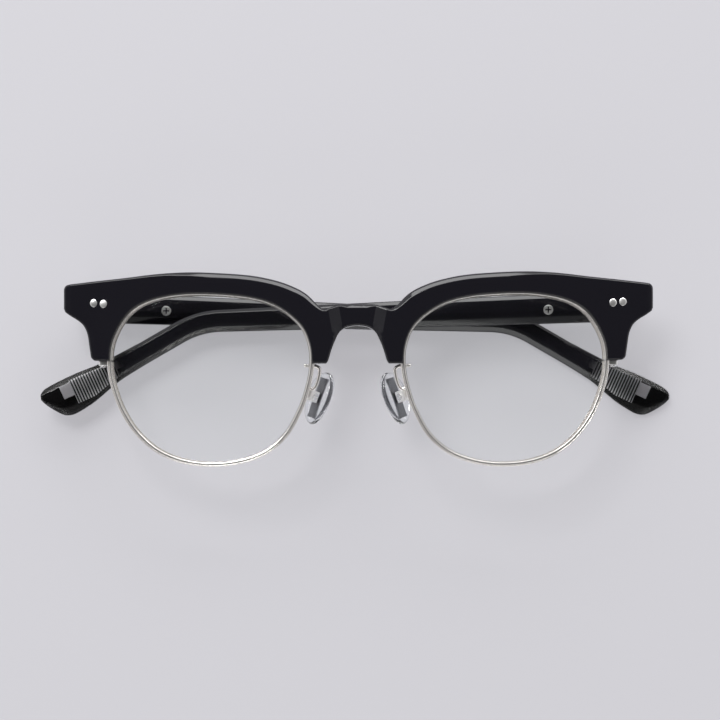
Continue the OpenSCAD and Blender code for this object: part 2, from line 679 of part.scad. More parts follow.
module pad_arm() {
    wire(arm_line, arm_r);
    at_pad() difference() {
        translate([-box_w / 2, -box_h / 2, -box_low]) cube([box_w, box_h, box_low + box_top]);
        translate([-lug_w / 2 - 0.06, -box_h, -box_low - 1])
            cube([lug_w + 0.12, 2 * box_h, box_low + 1 + box_floor]);
        across(pad_screw_r + 0.01, -5, 5);
    }
}
module right_pad_arm() color([0.78, 0.76, 0.73]) right_side() pad_arm();
module left_pad_arm() color([0.78, 0.76, 0.73]) left_side() pad_arm();

module pad_screw() at_pad() {
    across(pad_screw_r, -box_w / 2 - 0.1, box_w / 2);
    difference() {
        across(0.85, -box_w / 2 - 0.4, -box_w / 2 - seat);
        translate([-box_w / 2 - 0.6, -0.1, -1]) cube([0.35, 0.2, 2]);
    }
}
module right_pad_screw() color([0.82, 0.8, 0.78]) right_side() pad_screw();
module left_pad_screw() color([0.82, 0.8, 0.78]) left_side() pad_screw();

// Lug of a pad, with the long plate that is moulded into the pad's front
plate_w = 2.6;
plate_l = 10;
module pad_plate(grow = 0) {
    translate([-plate_w / 2 - grow, -plate_l / 2 - grow, -pad_face - 1.15 - grow])
        cube([plate_w + 2 * grow, plate_l + 2 * grow, 0.5 + 2 * grow]);
    translate([-lug_w / 2 - grow, -0.8 - grow, -pad_face - 0.7])
        cube([lug_w + 2 * grow, 1.6 + 2 * grow, pad_face + 0.7]);
}
module pad_mount() at_pad() difference() {
    union() {
        pad_plate();
        across(lug_end, -lug_w / 2, lug_w / 2);
    }
    across(pad_screw_r + running, -5, 5);
}
module right_pad_mount() color([0.8, 0.8, 0.8]) right_side() pad_mount();
module left_pad_mount() color([0.8, 0.8, 0.8]) left_side() pad_mount();

module nose_pad() at_pad() difference() {
    pad_body();
    pad_plate(seat);
}
module right_nose_pad() color([0.9, 0.92, 0.93, 0.6]) right_side() nose_pad();
module left_nose_pad() color([0.9, 0.92, 0.93, 0.6]) left_side() nose_pad();

brow_front();
right_eyewire();
left_eyewire();
right_lens();
left_lens();
right_lock_screw();
left_lock_screw();
right_brow_screws();
left_brow_screws();
right_front_leaf();
left_front_leaf();
right_front_rivets();
left_front_rivets();
right_hinge_screw();
left_hinge_screw();
right_temple();
left_temple();
right_temple_leaf();
left_temple_leaf();
right_temple_rivet();
left_temple_rivet();
right_core_wire();
left_core_wire();
right_pad_arm();
left_pad_arm();
right_pad_screw();
left_pad_screw();
right_pad_mount();
left_pad_mount();
right_nose_pad();
left_nose_pad();
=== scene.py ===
"""Browline glasses: the finish of every piece, the light and the camera."""
import json
from math import atan2, cos, pi, radians, sin, sqrt

import bmesh
import bpy
from mathutils import Matrix, Vector
from mathutils.geometry import delaunay_2d_cdt


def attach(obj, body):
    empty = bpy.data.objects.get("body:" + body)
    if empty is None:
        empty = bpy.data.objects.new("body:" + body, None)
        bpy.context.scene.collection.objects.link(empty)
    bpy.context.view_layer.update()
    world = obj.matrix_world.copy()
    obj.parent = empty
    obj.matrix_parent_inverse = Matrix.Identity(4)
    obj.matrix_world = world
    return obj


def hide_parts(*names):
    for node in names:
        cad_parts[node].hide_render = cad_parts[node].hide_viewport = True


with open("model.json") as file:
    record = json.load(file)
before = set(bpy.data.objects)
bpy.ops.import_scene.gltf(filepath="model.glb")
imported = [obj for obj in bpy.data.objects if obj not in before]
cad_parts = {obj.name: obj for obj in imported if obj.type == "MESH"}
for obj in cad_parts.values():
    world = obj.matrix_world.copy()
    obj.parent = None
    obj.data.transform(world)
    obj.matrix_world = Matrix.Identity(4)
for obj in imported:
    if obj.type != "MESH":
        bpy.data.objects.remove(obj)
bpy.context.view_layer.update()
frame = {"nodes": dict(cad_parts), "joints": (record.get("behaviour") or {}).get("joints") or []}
MM = 0.001
SIDES = {"left": 1, "right": -1}
# Edges steeper than this many degrees stay sharp, on swept pieces and on cut ones
SHARP = 38
CUT_SHARP = 35
# How far visible faces and temple tips stay inside those of the plain model, in millimetres
FACE_IN = 0.02
TIP_IN = 0.03
# A quarter round as (in, along) shares of its radius
QUARTER = [(1, 0), (0.62, 0.08), (0.29, 0.29), (0.08, 0.62), (0, 1)]

# Front, in millimetres: x from the middle of the bridge, y from its own level, z out of the front
HINGE_GAP = 2.8
PIN_Y = 17.4
FRONT_R = 560
BROW_T = 4.6
BROW_MID = 5.396
EDGE = 0.34
ARCH_EDGE = 0.14
BROW_ROUND = 0.16
BROW_GRID = (0.9, 0.45)
# Bevel along the brow's top edge, the steeper facet under it, and their share of the full size by the
# distance from the middle
BEVEL_W = 1.2
BEVEL_D = 0.66
FACET_OUT = 0.3
FACET_DOWN = 0.43
BEVEL_SHARE = [(0, 0.7), (2.4, 0.7), (4.4, 0), (7, 0), (11, 0.75), (15, 1), (36, 1), (46, 0.2), (60, 0.05)]
# Facets cut into the bridge, and between which heights points go along their edges
BRIDGE_HALF = 7
BRIDGE_TOP = 16.1
BRIDGE_SLANT = 0.18
BRIDGE_FACET = 2.7
BRIDGE_CUT = 1.1
BRIDGE_ROOM_LOW = [(0, 13.1), (2.5, 12.8), (4.3, 11.7), (5.4, 9.6), (6.3, 7.2)]
BRIDGE_ROOM_HIGH = [(0, 16.4), (4, 16.5), (6.4, 16), (8, 15.6)]
BRIDGE_ROWS = [16 - 0.33 * k for k in range(20)]
# Creases over this many degrees stay sharp between faces that look forwards by more than this share
CREASE = 9
FORWARDS = 0.9
# Lenses and rims, which follow one ball on each side
LENS_W = 49.2
LENS_H = 41.5
EYE = (35.5, -0.3)
LENS_T = 1.6
LENS_PLAY = 0.2
LENS_EDGE = 0.12
LENS_GRID = (2.2, 1)
LENS_R = 130
LENS_LEAN = 8.2
BALL_X = EYE[0] - LENS_LEAN
RIM_BACK_SET = 0.1
RIM_ROOM = 0.77
RIM_PLAY = 0.08
RIM_WALL = 0.45
RIM_HALF = 1.1
RIM_ROUND = 0.22
LIP_LAP = 0.35
LIP_MORE = 0.22
LIP_LEAST = 0.5
LIP_DROP = 0.02
# Temples and their metal cores, by the distance from the pin
TEMPLE_LEN = 146.8
TEMPLE_T = 3.6
TIP_T = 2.8
TEMPLE_H = 7.5
TEMPLE_Y = 0.2
TEMPLE_ROUND = 0.24
SIDE_DROP = radians(2)
TIP_DROP = radians(30)
BEND_AT = 98.4
BEND_R = 22
LEFT_FOLD = radians(1.724)
OUTER_Z = -HINGE_GAP - TEMPLE_T
CORE_BEND_AT = 96.2
CORE_R = 20
CORE_DROP = radians(24.4)
CORE_T = 0.85
CORE_LOW = OUTER_Z + TIP_T / 2 - 0.5
CORE_FROM = 24
CORE_SPAN = (-1, 1)
CORE_ROOM = (0.95, 0.9)
RIB_PITCH = 0.7
RIB_N = 17
RIB_SPAN = (-4.7, 1.6)
RIB_DEPTH = 0.7
RIB_PARTS = (0.01, 0.2, 0.24, 0.76, 0.8, 0.99)
GROOVE_HALF = 0.28
TONGUE_SPAN = (-2.4, 0.9)
TONGUE_AT = 8.2
TONGUE_STEPS = (0, 0.1, 1.2, 2.5, 2.8)
# Rivets of the front and of the temples
RIVETS_AT = ((61.3, 17.9), (63.7, 18.1))
RIVET_HEAD_R = 0.98
RIVET_RISE = 0.17
RIVET_SUNK = 0.04
RIVET_HEAD_DEEP = 0.6
RIVET_R = 0.6
RIVET_LOW = -0.85
RIVET_HIGH = 1.6
DOT_AT = (17.7, -0.65)
DOT_R = 1.2
DOT_T = 0.54
DOT_PROUD = 0.04
CROSS_LONG = 0.75
CROSS_THIN = 0.15
CROSS_DEEP = 0.25
# Nose pads
PAD_L = 13.2
PAD_W = 7.6
PAD_T = 2.2
PAD_TILT = radians(19.5)
PAD_SPLAY = radians(45)
PAD_FACE = 1.4
PAD_AT = (10.9, -4.4)
PAD_BACK = 3
PAD_ASIDE = 0.15
PAD_PEAR = 0.1
PAD_BOW = 0.4
ARM_R = 0.45
ARM_CLEAR = 0.03
ARM_ROOT_Y = 3
ARM_FOOT = (1.5, 0.2, -0.7)
ARM_OVER_BOX = 1.43
ARM_ENDS = (0.75, 0.95, 1)


# Places of the bodies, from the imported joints
joints = {j["name"]: j for j in frame["joints"]}
pin_right = Vector(joints["right_temple_hinge"]["pos_m"])
pin_left = Vector(joints["left_temple_hinge"]["pos_m"])
across = pin_left - pin_right
lean = atan2(across.z, across.x)
front_up = Vector((-sin(lean), 0, cos(lean)))
middle = (pin_left + pin_right) / 2 + front_up * HINGE_GAP * MM - Vector((0, PIN_Y * MM, 0))
MIRROR = Matrix.Scale(-1, 4, (1, 0, 0))
SIZE = Matrix.Scale(MM, 4)
FRONT = Matrix.Translation(middle) @ Matrix.Rotation(-lean, 4, "Y") @ SIZE
FRONTS = {"left": FRONT, "right": FRONT @ MIRROR}
TEMPLES = {
    "right": Matrix.Translation(pin_right) @ SIZE,
    "left": Matrix.Translation(pin_left) @ Matrix.Rotation(LEFT_FOLD - lean, 4, "Y") @ MIRROR @ SIZE,
}


# Shape helpers
def between(a, b, c, d, t):
    """A point on the smooth curve through b and c, with a before and d after them."""
    return tuple(
        0.5 * (2 * q + (r - p) * t + (2 * p - 5 * q + 4 * r - s) * t * t
               + (3 * q - 3 * r + s - p) * t ** 3)
        for p, q, r, s in zip(a, b, c, d)
    )


def closed_curve(points, steps):
    m = len(points)
    return [between(points[i - 1], points[i], points[(i + 1) % m], points[(i + 2) % m], k / steps)
            for i in range(m) for k in range(steps)]


def open_curve(points, steps):
    m = len(points) - 1
    line = [between(points[max(i - 1, 0)], points[i], points[i + 1], points[min(i + 2, m)], k / steps)
            for i in range(m) for k in range(steps)]
    return line + [tuple(points[m])]


def lookup(x, pairs):
    """Straight-line value at x between (x, value) pairs in rising order."""
    if x <= pairs[0][0]:
        return pairs[0][1]
    for (a, u), (b, v) in zip(pairs, pairs[1:]):
        if x <= b:
            return u + (v - u) * (x - a) / (b - a)
    return pairs[-1][1]


def normals(line):
    """Unit vectors to the right of a loop's direction at each point: outwards if it is anticlockwise."""
    m = len(line)
    out = []
    for i in range(m):
        a = line[i - 1]
        b = line[(i + 1) % m]
        d = Vector((b[0] - a[0], b[1] - a[1])).normalized()
        out.append(Vector((d.y, -d.x)))
    return out


def grown(line, by):
    return [(p[0] + n.x * by, p[1] + n.y * by) for p, n in zip(line, normals(line))]


def ball_rise(x, y):
    return sqrt(LENS_R ** 2 - (x - BALL_X) ** 2 - (y - EYE[1]) ** 2)


def sag(x):
    return FRONT_R - sqrt(FRONT_R ** 2 - x * x)


def brow_z(x):
    return BROW_MID - sag(x)


BALL_Z = brow_z(EYE[0]) - RIM_BACK_SET - ball_rise(EYE[0], EYE[1] + LENS_H / 2)


def rim_z(x, y):
    return BALL_Z + ball_rise(x, y)


def add_mesh(name, points, faces, place, sharp_deg=None):
    """A smooth mesh object from millimetre points in a part's own frame. Edges over an angle stay
    sharp."""
    mesh = bpy.data.meshes.new(name)
    mesh.from_pydata([place @ Vector(p) for p in points], [], faces)
    work = bmesh.new()
    work.from_mesh(mesh)
    bmesh.ops.recalc_face_normals(work, faces=work.faces)
    for face in work.faces:
        face.smooth = True
    if sharp_deg is not None:
        for edge in work.edges:
            if len(edge.link_faces) == 2 and edge.calc_face_angle(0) > radians(sharp_deg):
                edge.smooth = False
    work.to_mesh(mesh)
    work.free()
    piece = bpy.data.objects.new(name, mesh)
    bpy.context.scene.collection.objects.link(piece)
    return piece


def bands(m, n):
    """Faces between m rings of n points."""
    return [(k * n + j, k * n + (j + 1) % n, (k + 1) * n + (j + 1) % n, (k + 1) * n + j)
            for k in range(m - 1) for j in range(n)]


def loft(rings):
    """Points and faces of a skin over rings of points, shut at both ends."""
    n = len(rings[0])
    m = len(rings)
    points = [p for ring in rings for p in ring]
    return points, bands(m, n) + [tuple(range(n)), tuple(range((m - 1) * n, m * n))]


def merged(parts):
    """Several (points, faces) as one."""
    points = []
    faces = []
    for more_points, more_faces in parts:
        faces += [tuple(len(points) + v for v in face) for face in more_faces]
        points += more_points
    return points, faces


def slab(outline, low, high, edge, turn=lambda p: p):
    """A flat piece with rounded edges over an anticlockwise outline."""
    levels = [(edge * s, low + edge * t) for s, t in QUARTER]
    levels += [(edge * s, high - edge * t) for s, t in QUARTER[::-1]]
    return loft([[turn((x, y, z)) for x, y in grown(outline, -s)] for s, z in levels])


def upright(p):
    """Turns a slab so that its thickness runs along y."""
    return p[0], p[2], p[1]


def rectangle(left, right, low, high):
    return [(left, low), (right, low), (right, high), (left, high)]


def ring_of(x, y, radius, steps, start=0.0, turn=2 * pi):
    return [(x + radius * cos(start + turn * k / steps), y + radius * sin(start + turn * k / steps))
            for k in range(steps)]


def rounded(section, radius, steps=3):
    """A closed section with each corner turned into a small arc."""
    out = []
    m = len(section)
    for i in range(m):
        p = Vector(section[i])
        a = Vector(section[i - 1]) - p
        b = Vector(section[(i + 1) % m]) - p
        reach = min(radius, 0.4 * a.length, 0.4 * b.length)
        start = p + a.normalized() * reach
        end = p + b.normalized() * reach
        for k in range(steps + 1):
            t = k / steps
            q = start * (1 - t) ** 2 + p * 2 * t * (1 - t) + end * t * t
            out.append((q.x, q.y))
    return out


def fill(loop, first_id, extra_from, spacing, inset, lines=()):
    """Triangles inside a closed loop of 2-D points, over a grid of inner points and any given points.
    Returns the inner points and the faces, which count the loop from first_id and the inner points
    from extra_from."""
    xs = [p[0] for p in loop]
    ys = [p[1] for p in loop]
    inner = list(lines)
    given = len(inner)
    rows = int((max(ys) - min(ys)) / spacing)
    columns = int((max(xs) - min(xs)) / spacing)
    m = len(loop)
    for j in range(1, rows + 1):
        for i in range(1, columns + 1):
            x = min(xs) + (i + 0.5 * (j % 2)) * spacing
            y = min(ys) + j * spacing
            inside = False
            for k in range(m):
                ax, ay = loop[k - 1]
                bx, by = loop[k]
                if (ay > y) != (by > y) and x < (bx - ax) * (y - ay) / (by - ay) + ax:
                    inside = not inside
            near = min((ax - x) ** 2 + (ay - y) ** 2 for ax, ay in loop + inner[:given])
            if inside and near > inset ** 2:
                inner.append((x, y))
    made = delaunay_2d_cdt([Vector(p) for p in loop + inner], [], [list(range(m))], 1, 1e-5)
    ids = [origin[0] if origin else None for origin in made[3]]
    faces = []
    for face in made[2]:
        named = [ids[v] for v in face]
        if None not in named:
            faces.append([first_id + v if v < m else extra_from + v - m for v in named])
    return inner, faces


def cut_away(piece, tool):
    """Cuts a tool out of a piece for good, and removes the tool."""
    cut = piece.modifiers.new("cut", "BOOLEAN")
    cut.operation = "DIFFERENCE"
    cut.solver = "EXACT"
    cut.object = tool
    graph = bpy.context.evaluated_depsgraph_get()
    done = bpy.data.meshes.new_from_object(piece.evaluated_get(graph))
    piece.modifiers.clear()
    piece.data = done
    bpy.data.objects.remove(tool)


def sharpen(piece):
    """Keeps the steep edges of a cut piece sharp, and no others."""
    work = bmesh.new()
    work.from_mesh(piece.data)
    for edge in work.edges:
        edge.smooth = len(edge.link_faces) != 2 or edge.calc_face_angle(0) < radians(CUT_SHARP)
    work.to_mesh(piece.data)
    work.free()


def keep_values(piece, name, values):
    """Stores a number for each point of a piece, for its material to read."""
    field = piece.data.attributes.new(name, "FLOAT", "POINT")
    for datum, value in zip(field.data, values):
        datum.value = value


# Outlines of the front, the wearer's left half: the lens in shares of its half width and half height,
# the brow in millimetres
EYE_SHAPE = [
    (1, 0.155), (0.98, 0.438), (0.846, 0.734), (0.651, 0.903), (0.355, 0.988), (0.016, 1),
    (-0.363, 0.962), (-0.651, 0.861), (-0.886, 0.649), (-0.986, 0.405), (-1, 0.132),
    (-0.954, -0.141), (-0.882, -0.376), (-0.75, -0.649), (-0.547, -0.856),
    (-0.279, -0.969), (0, -1), (0.279, -0.958), (0.519, -0.842), (0.723, -0.635),
    (0.87, -0.376), (0.962, -0.094),
]
BROW_TOP = [
    (0, 17.6), (4, 17.5), (6.4, 16.8), (8.1, 16.35), (9.7, 17.5), (12, 19.8), (14.8, 21.5),
    (19.3, 23.2), (25.5, 24.5), (33, 25.15), (40.7, 25.4), (48.4, 25), (56, 24.15),
    (63, 23.45), (69.6, 22.75),
]
BROW_CORNER = [(70.6, 22.45), (71.1, 21.8), (71.2, 20.9), (71.2, 16.8)]
BROW_SCALLOP = [
    (70.9, 16), (69.5, 15), (67.7, 13.9), (66.3, 12.6), (65.4, 10.6), (65, 8.2),
    (64.7, 6.2), (64.45, 4.9), (63.7, 4.2),
]
BROW_NOSE = [(7.6, 3.3), (7.05, 4), (6.3, 6.4), (5.4, 8.8), (4.3, 10.9), (2.5, 12.1), (0, 12.5)]
# Flat lower ends of the brow at the temple side and at the nose, and how the arch meets them
ARM_END_Y = 4.1
ARM_END_XS = (62.6, 61.4)
NOSE_END_Y = 3.3
NOSE_END_XS = (9.4, 8.4)
ARCH_STEPS = 6
ARCH_PAST_HALF = 12
ARCH_STOP = 0.5
ARCH_ASIDE = 0.03


def eye_point(x, y):
    return EYE[0] + x * LENS_W / 2, EYE[1] + y * LENS_H / 2


def eye_line(steps):
    return closed_curve([eye_point(x, y) for x, y in EYE_SHAPE], steps)


def brow_outline():
    """The closed outline of the brow, anticlockwise, as (x, y, kind) with kind top, arch or edge."""
    arch = grown(eye_line(ARCH_STEPS), RIM_WALL - LIP_LAP - LIP_MORE)
    over = []
    for x, y in arch[:len(arch) // 2 + ARCH_PAST_HALF]:
        end_y = ARM_END_Y if x > EYE[0] else NOSE_END_Y
        if y > end_y + ARCH_STOP:
            over.append((x, y))
    half = [(x, y, "top") for x, y in open_curve(BROW_TOP, 5)]
    half += [(x, y, "edge") for x, y in open_curve([half[-1][:2]] + BROW_CORNER, 3)[1:]]
    half += [(x, y, "edge") for x, y in open_curve(BROW_SCALLOP, 4)]
    half += [(x, ARM_END_Y, "edge") for x in ARM_END_XS + (over[0][0] + ARCH_ASIDE,)]
    half += [(x, y, "arch") for x, y in over]
    half += [(x, NOSE_END_Y, "edge") for x in (over[-1][0] - ARCH_ASIDE,) + NOSE_END_XS]
    half += [(x, y, "edge") for x, y in open_curve(BROW_NOSE, 4)]
    other = [(-x, y, kind) for x, y, kind in half[1:-1]]
    return (half + other[::-1])[::-1]


def inward(line):
    """For each point of an anticlockwise loop, the way its corner moves when the loop shrinks by one."""
    m = len(line)
    out = []
    for i in range(m):
        a = Vector(line[i]) - Vector(line[i - 1])
        b = Vector(line[(i + 1) % m]) - Vector(line[i])
        p = Vector((a.y, -a.x)).normalized()
        q = Vector((b.y, -b.x)).normalized()
        out.append(-(p + q) / max(1 + p.dot(q), 0.7))
    return out


def bridge_edge(y):
    """Distance of the bridge's facets from the middle, at their outer edge."""
    return BRIDGE_HALF - (BRIDGE_TOP - y) * BRIDGE_SLANT


def front_face(x, y):
    """Height of the brow's front face, with the shallow facets cut into the bridge."""
    facet = min(max((bridge_edge(y) - abs(x)) / BRIDGE_FACET, 0), 1)
    return brow_z(x) + BROW_T / 2 - FACE_IN - BRIDGE_CUT * facet


def back_face(x):
    """Height of the brow's back, which follows the curve down to zero and then stays flat."""
    return max(brow_z(x) - BROW_T / 2, 0)


def bridge_lines():
    """Points along the edges of the bridge's facets."""
    lines = []
    for side in SIDES.values():
        for inner in (0, BRIDGE_FACET):
            for y in BRIDGE_ROWS:
                x = bridge_edge(y) - inner
                if lookup(x, BRIDGE_ROOM_LOW) < y < lookup(x, BRIDGE_ROOM_HIGH):
                    lines.append((side * x, y))
    return lines


def brow_profile(x, y, kind):
    """The brow's edge at a point of its outline, from the front face to the back, as (inwards, height)."""
    bevel = lookup(abs(x), BEVEL_SHARE) if kind == "top" else 0
    edge = ARCH_EDGE if kind == "arch" else EDGE
    wide = edge + (BEVEL_W - edge) * bevel
    deep = edge + (BEVEL_D - edge) * bevel
    top = front_face(x, y)
    back = back_face(x)
    if kind == "arch":
        step = RIM_ROOM
        lip = min(rim_z(abs(x), y) + RIM_HALF + RIM_PLAY, top - deep - LIP_LEAST)
    else:
        step = 0
        lip = top - 2
    corners = rounded([
        (wide + 2, top), (wide, top), (FACET_OUT * bevel, top - deep),
        (0, top - deep - LIP_DROP - FACET_DOWN * bevel), (0, lip), (step, lip - LIP_DROP),
        (step, back), (step + 2, back), (step + 2, top - 1),
    ], BROW_ROUND)
    # Four points a corner: the front edge, the facet's two edges and the back edge stay round, and the
    # two corners of the lip are one point each. The first and the last two only give directions
    return corners[4:16] + [corners[17], corners[21]] + corners[24:28]


def crease_front(piece):
    """Keeps the shallow creases between a front face's facets sharp."""
    work = bmesh.new()
    work.from_mesh(piece.data)
    for edge in work.edges:
        facing = all(face.normal.z > FORWARDS for face in edge.link_faces)
        if facing and edge.calc_face_angle(0) > radians(CREASE):
            edge.smooth = False
    work.to_mesh(piece.data)
    work.free()


def make_brow():
    """The brow: a slab that follows the curve of the front, with a bevel along its top edge and a step
    in its arches for the rims."""
    outline = brow_outline()
    line = [p[:2] for p in outline]
    n = len(line)
    columns = []
    for (x, y, kind), way in zip(outline, inward(line)):
        columns.append([(x + way.x * s, y + way.y * s, z) for s, z in brow_profile(x, y, kind)])
    count = len(columns[0])
    points = [columns[i][k] for k in range(count) for i in range(n)]
    faces = bands(count, n)
    for level in (0, count - 1):
        loop = [points[level * n + i][:2] for i in range(n)]
        lines = () if level else bridge_lines()
        inner, more = fill(loop, level * n, len(points), *BROW_GRID, lines)
        points += [(x, y, back_face(x) if level else front_face(x, y)) for x, y in inner]
        faces += more
    piece = add_mesh("brow", points, faces, FRONT, SHARP)
    crease_front(piece)
    return piece


# Rims: the section is given as (out, up) from the lens edge
RIM_SECTION = [
    (0.44, -0.6), (0.24, -1.1), (-0.5, -1.1), (-0.68, -0.95), (-0.68, -0.88), (0.08, -0.88),
    (0.08, 0.88), (-0.68, 0.88), (-0.62, 0.98), (-0.38, 1.08), (-0.17, 1.1),
    (-0.07, 0.95), (0.03, 1.1), (0.22, 1.07), (0.38, 0.93), (0.44, 0.6),
]
RIM_STEPS = 12
# The rim is open over part of one step of its line
RIM_OPEN = 3
RIM_END = 0.45
# Lugs behind the brow, and the lumps and the screw at the rim's saw cut, as places from LOCK_AT
LUG_REACH = 1.9
LUG_ROOT = 0.4
LUG_R = 1.25
LUG_T = 0.8
LUG_EDGE = 0.12
LUG_POINTS = 16
LUMP_X = (-0.3, 2.3)
LUMP_HALF = 0.85
LUMP_ROUND = 0.8
LUMP_EDGE = 0.16
RIM_CUT = 0.25
LOW_LUMP = (0, 1.2)
HIGH_LUMP = (LOW_LUMP[1] + RIM_CUT, 3.4)
BOLT_X = 1.25
SHANK_R = 0.45
SHANK_Y = (-0.1, 3.5)
SHANK_EDGE = 0.05
HEAD_R = 0.72
HEAD_Y = (-0.42, 0.05)
HEAD_EDGE = 0.14
SLOT_X = (0.2, 2.3)
SLOT_HALF = 0.09
SLOT_Y = (-1, -0.24)
TOOL_EDGE = 0.01


def beside_eye(k, out):
    """A point beside the lens outline, at one of its given points."""
    x, y = eye_point(*EYE_SHAPE[k])
    return x + out, y


LOCK_AT = beside_eye(0, RIM_WALL)
SIDE_LUG_AT = beside_eye(1, RIM_WALL)
NOSE_LUG_AT = beside_eye(9, -RIM_WALL)
LOCK_Z = rim_z(*LOCK_AT)


def rim_sweep():
    """The grooved rim, open at its saw cut."""
    line = eye_line(RIM_STEPS)
    m = len(line)
    section = rounded(RIM_SECTION, RIM_ROUND)
    end = tuple(a + (b - a) * RIM_END for a, b in zip(line[RIM_OPEN - 1], line[RIM_OPEN]))
    rings = []
    for i in range(RIM_OPEN, m + RIM_OPEN + 1):
        p = end if i == m + RIM_OPEN else line[i % m]
        a = line[(i - 1) % m]
        b = line[(i + 1) % m]
        up = Vector((p[0] - BALL_X, p[1] - EYE[1], ball_rise(*p))).normalized()
        along = Vector((b[0] - a[0], b[1] - a[1], rim_z(*b) - rim_z(*a))).normalized()
        out = along.cross(up)
        at = Vector((p[0], p[1], rim_z(*p)))
        rings.append([tuple(at + out * s + up * t) for s, t in section])
    return loft(rings)


def lug(at, way):
    """A lug behind the brow, soldered to the rim, that points along x by the sign of way."""
    low = rim_z(*at) - RIM_HALF
    half_turn = pi * LUG_POINTS / (LUG_POINTS - 1)
    tip = ring_of(at[0] + way * LUG_REACH, at[1], LUG_R, LUG_POINTS, -way * pi / 2, half_turn)
    root_x = at[0] - way * LUG_ROOT
    root = [(root_x, at[1] + LUG_R * way), (root_x, at[1] - LUG_R * way)]
    return slab(tip + root, low, low + LUG_T, LUG_EDGE)


def lock_lump(span):
    """One of the two lumps that the lock screw pulls together."""
    x, y = LOCK_AT
    outline = rectangle(x + LUMP_X[0], x + LUMP_X[1], LOCK_Z - LUMP_HALF, LOCK_Z + LUMP_HALF)
    return slab(rounded(outline, LUMP_ROUND, 6), y + span[0], y + span[1], LUMP_EDGE, upright)


def make_rim(side):
    parts = [rim_sweep(), lug(SIDE_LUG_AT, 1), lug(NOSE_LUG_AT, -1)]
    return add_mesh(side + "_rim", *merged(parts), FRONTS[side], SHARP)


def make_lock(side):
    lumps = merged([lock_lump(LOW_LUMP), lock_lump(HIGH_LUMP)])
    return add_mesh(side + "_lock_lumps", *lumps, FRONTS[side], SHARP)


def make_lock_screw(side):
    """The screw through the two lumps, with a slot in its head."""
    x, y = LOCK_AT
    shank_ring = ring_of(x + BOLT_X, LOCK_Z, SHANK_R, 20)
    head_ring = ring_of(x + BOLT_X, LOCK_Z, HEAD_R, 28)
    shank = slab(shank_ring, y + SHANK_Y[0], y + SHANK_Y[1], SHANK_EDGE, upright)
    head = slab(head_ring, y + HEAD_Y[0], y + HEAD_Y[1], HEAD_EDGE, upright)
    piece = add_mesh(side + "_lock_bolt", *merged([shank, head]), FRONTS[side])
    slot = rectangle(x + SLOT_X[0], x + SLOT_X[1], LOCK_Z - SLOT_HALF, LOCK_Z + SLOT_HALF)
    tool = slab(slot, y + SLOT_Y[0], y + SLOT_Y[1], TOOL_EDGE, upright)
    cut_away(piece, add_mesh("slot", *tool, FRONTS[side]))
    sharpen(piece)
    return piece


def lens_z(x, y, off):
    """Height of a ball that lies off the lens's middle ball."""
    return BALL_Z + ball_rise(x, y) * (LENS_R + off) / LENS_R


def make_lens(side):
    """A clear lens between two balls, with a ground edge that sits in the rim's groove."""
    line = grown(eye_line(8), -LENS_PLAY)
    n = len(line)
    half = LENS_T / 2 - FACE_IN
    levels = [(LENS_EDGE, half), (0, half - LENS_EDGE), (0, LENS_EDGE - half), (LENS_EDGE, -half)]
    points = [(x, y, lens_z(x, y, off)) for inset, off in levels for x, y in grown(line, -inset)]
    faces = bands(len(levels), n)
    for level, off in ((0, half), (len(levels) - 1, -half)):
        loop = [points[level * n + i][:2] for i in range(n)]
        inner, more = fill(loop, level * n, len(points), *LENS_GRID)
        points += [(x, y, lens_z(x, y, off)) for x, y in inner]
        faces += more
    return add_mesh(side + "_clear_lens", points, faces, FRONTS[side], sharp_deg=30)


# Temples: height over and under the middle line, first as a share of the height by the distance from
# the pin, then in millimetres by the distance left to the tip
SIDE_SHARE = [(0, 0.5), (25, 0.475), (55, 0.435), (85, 0.38), (98, 0.36), (106, 0.355)]
TIP_FROM = 28
TIP_UP = [
    (0, 2.95), (0.25, 3.6), (0.7, 4.05), (1.6, 4.45), (3, 4.6), (6, 4.5), (11, 4.05), (16, 3.3),
    (20, 3), (28, 2.7),
]
TIP_LOW = [
    (0, 2.1), (0.25, 1.25), (0.7, 0.2), (1.6, -1.4), (2.6, -2.9), (3.6, -3.85), (5.5, -4.5),
    (9, -4.5), (12, -4.2), (18, -3.1), (22, -2.8), (28, -2.65),
]
TIP_THIN = 0.55
BEND_LEN = BEND_R * (TIP_DROP - SIDE_DROP)
CORE_BEND_LEN = CORE_R * (CORE_DROP - SIDE_DROP)
# Distances from the pin along the side, and the last two before the tip by what is left to it
SIDE_STEPS = [-2.5, 0] + [3.5 * k for k in range(1, 27)]
SIDE_END = 30
BEFORE_TIP = [29.5, 28.7]
# Section: soft outer edges, the upper bevel and the lower one, as (share of the height, depth)
OUTER_SOFT = 0.6
UPPER_BEVEL = (0.16, 0.75)
LOWER_BEVEL = ((0.425, 0), (0.24, 0.35), (0, 1.4))
# Points over this height in the section know how far from the tip they are, and the others get FAR
INNER_FROM = 0.7
FAR = 100
# The root's end face stops against the end piece at this angle
ROOT_ANGLE = radians(95)
ROOT_GAP = 2.72
# Pocket for the hinge leaf
POCKET_X = (-6, 6.58)
POCKET_HALF = 2.78
POCKET_DEEP = 1.58
POCKET_ROUND = 0.3
POCKET_EDGE = 0.02


def bent_way(s, bend_at, bend_r, drop):
    """Point and slope at the distance s along a middle line that bends down to a slope of drop."""
    bend_len = bend_r * (drop - SIDE_DROP)
    a = SIDE_DROP + min(max(s - bend_at, 0), bend_len) / bend_r
    start = min(s, bend_at)
    rest = max(s - bend_at - bend_len, 0)
    x = start * cos(SIDE_DROP) + bend_r * (sin(a) - sin(SIDE_DROP)) + rest * cos(drop)
    y = -start * sin(SIDE_DROP) - bend_r * (cos(SIDE_DROP) - cos(a)) - rest * sin(drop)
    return x, y, a


